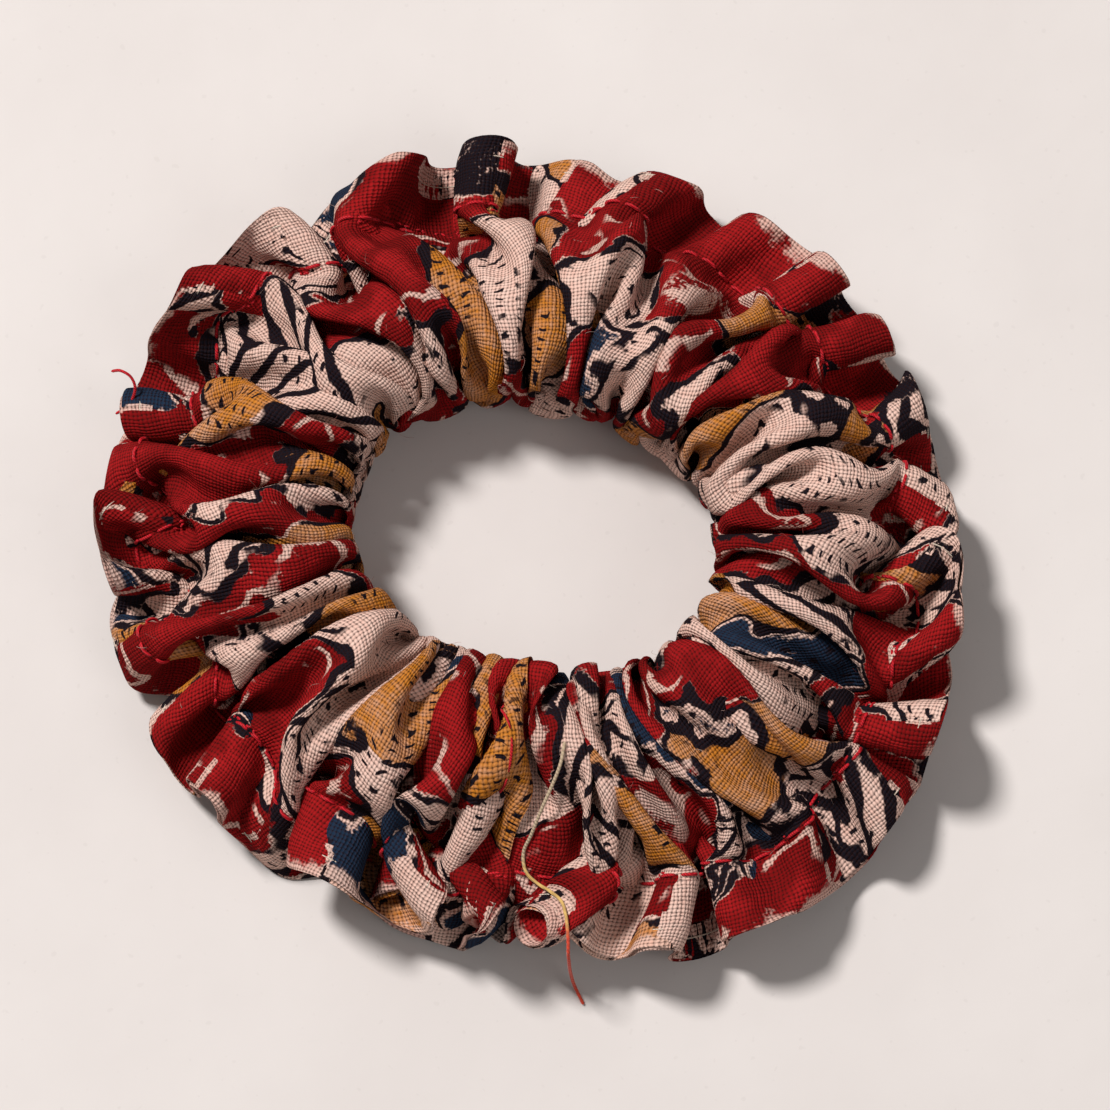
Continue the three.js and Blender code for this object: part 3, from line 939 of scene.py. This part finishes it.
def add_stitches(fine):
    """The topstitch, the edge seam and the end lap's row, with the red thread's material for the tail."""
    red = thread_material("red_thread", (0.26, 0.003, 0.008), (0.60, 0.012, 0.022))
    pale = thread_material("pale_thread", (0.45, 0.36, 0.28), (0.72, 0.62, 0.52))
    top = mesh_object("topstitch_top", *lock_stitches(fine, CASING), red, "red_thread")
    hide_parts("topstitch_needle_thread")
    under = mesh_object("topstitch_underside", *lock_stitches(fine, -CASING), red, "red_thread")
    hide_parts("topstitch_bobbin_thread")
    last = fine.shape[1] - 1
    inset = 3
    seam = 0.5 * (fine[:, last - inset] + fine[:, inset])
    seam[:, 2] = np.maximum(seam[:, 2], 0.2)
    seam_radius = 0.09
    edge = mesh_object("edge_seam_stitches", *tube(seam, seam_radius, 6, closed=True), pale, "pale_thread")
    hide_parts("edge_seam_thread")
    normals = grid_normals(fine)
    from_end, rise, radius, rows_each = LAP / 2, 0.72, 0.16, 5
    column = int(round(from_end / (STRIP_LENGTH / fine.shape[0])))
    rows = np.arange(fine.shape[1] // 2 + 6, fine.shape[1] - 4)
    route = fine[column, rows] + rise * normals[column, rows]
    starts = range(0, len(route) - rows_each, rows_each)
    stitches = [tube(route[i:i + rows_each], radius, 7) for i in starts]
    lap = mesh_object("end_lap_row", *joined(stitches), red, "red_thread")
    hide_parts("end_lap_stitches")
    return red, [top, under, edge, lap]


def yarn_material():
    """Cream at the cloth, then mustard, and red at the free end, as the print left it."""
    pattern = Pattern("cotton_yarn")
    place = pattern.place()
    x, y, z = pattern.split(place)
    hair = pattern.noise(place, 1800.0, 2.0)
    along = y * -1000.0 + hair * 2.0
    colour = pattern.mix(along.ramp(37.0, 40.0), (0.52, 0.40, 0.27), (0.62, 0.40, 0.13))
    colour = pattern.mix(along.ramp(45.0, 48.0), colour, (0.58, 0.06, 0.03))
    twist = ((x + y + z) * 9000.0).sin()
    # Painted shade in the grooves of the twist.
    colour = pattern.mix((twist * 0.3 + 0.3).ramp(0.0, 1.0) * 0.3, colour, (0.05, 0.02, 0.01))
    normal = pattern.bump(twist * 0.5 + hair, 0.00008, 0.9)
    return pattern.finish(colour, 0.8, normal, sheen=0.2)


def add_loose_yarn():
    route, length = smooth_route(YARN_ROUTE, 160)
    radius = 0.2
    piece = mesh_object("loose_yarn_frayed", *tube(route, radius, 10), yarn_material(), "cotton_yarn")
    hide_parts("loose_yarn")


def add_thread_tail(material):
    route, _ = smooth_route(TAIL_ROUTE, 40)
    radius = 0.18
    piece = mesh_object("thread_tail_red", *tube(route, radius, 8), material, "red_thread")
    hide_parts("thread_tail")
    return piece


def braided_elastic():
    """Off-white ribs with a braid across them, with painted shade in their hollows."""
    pattern = Pattern("braided_elastic")
    place = pattern.place()
    x, y, z = pattern.split(place)
    ribs = ((z * 1000.0) * (math.pi / 0.75)).sin()
    braid = ((x + y) * 2600.0 + ribs * 0.8).sin() * ((x - y) * 2600.0 - ribs * 0.8).sin()
    height = ribs * 0.5 + braid * 0.5
    # Painted shade: darker where the ribs and braid dip, lighter on their crowns.
    colour = pattern.mix(height.ramp(-0.8, 0.8), (0.55, 0.53, 0.49), (0.86, 0.84, 0.79))
    normal = pattern.bump(height, 0.00015, 0.8)
    return pattern.finish(colour, 0.75, normal, sheen=0.1)


def dress_cad_nodes():
    """New materials for the CAD nodes that stay: the elastic and its stitches."""
    for name, material in (
        ("elastic_band", braided_elastic()),
        ("elastic_lap_stitches", thread_material("elastic_thread", (0.55, 0.5, 0.44), (0.85, 0.8, 0.74))),
    ):
        mesh = bpy.data.objects[name].data
        mesh.materials.clear()
        mesh.materials.append(material)


add_camera()
add_lights()
add_floor()
add_loose_yarn()
cover, fine_cloth = cover_cloth(gathered_strip())
red_thread, stitch_rows = add_stitches(fine_cloth)
tail = add_thread_tail(red_thread)
lint = add_lint(fine_cloth)
dress_cad_nodes()
